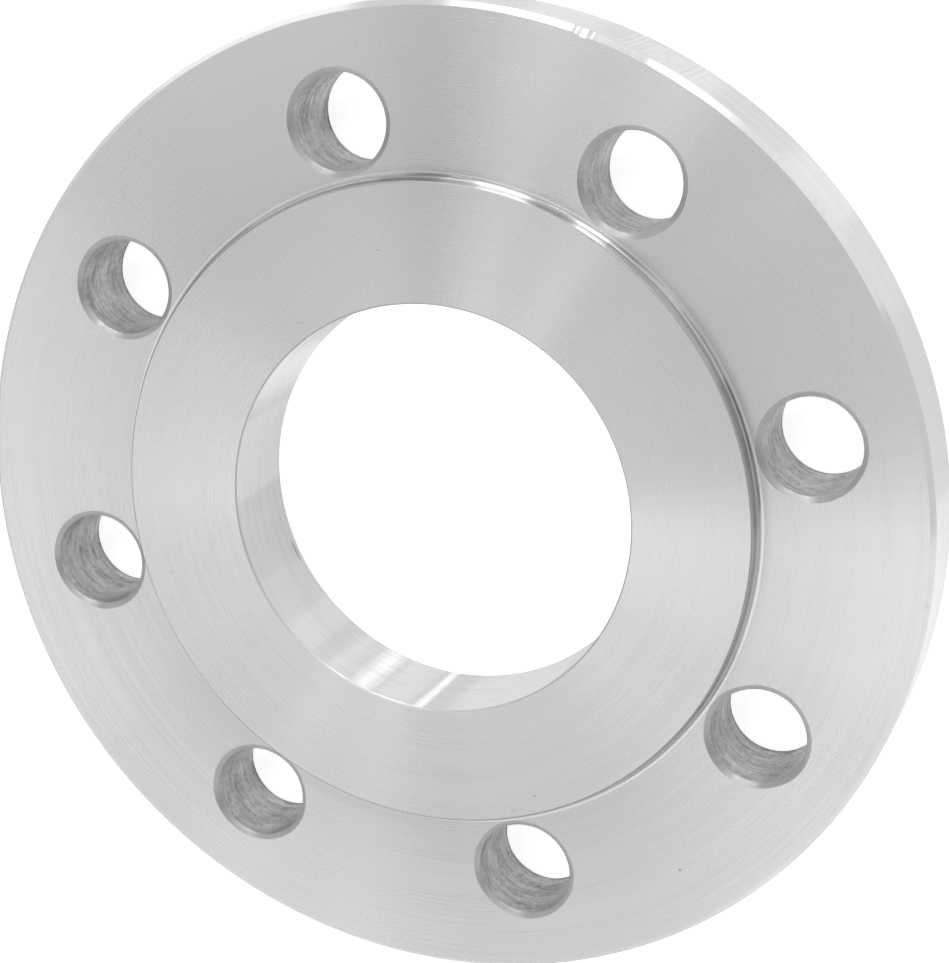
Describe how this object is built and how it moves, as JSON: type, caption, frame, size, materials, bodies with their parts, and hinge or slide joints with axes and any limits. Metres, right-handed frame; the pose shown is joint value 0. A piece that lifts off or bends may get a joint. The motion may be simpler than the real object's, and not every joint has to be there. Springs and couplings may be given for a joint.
{
  "type": "pipe flange",
  "caption": "Flat turned steel ring that bolts pipe ends together, with a raised gasket face, a plain bore for the pipe and a circle of bolt holes.",
  "frame": {"origin": "centre of the back face, on the bore axis", "axes": "+Z along the bore axis, out of the raised gasket face; the bolt holes straddle +X and +Y evenly"},
  "size_m": [0.185, 0.185, 0.02],
  "materials": {
    "turned_steel": "bright bare steel with fine concentric turning marks, drilled hole walls a little darker"
  },
  "bodies": {
    "root": {"flange": "turned_steel"}
  },
  "joints": []
}
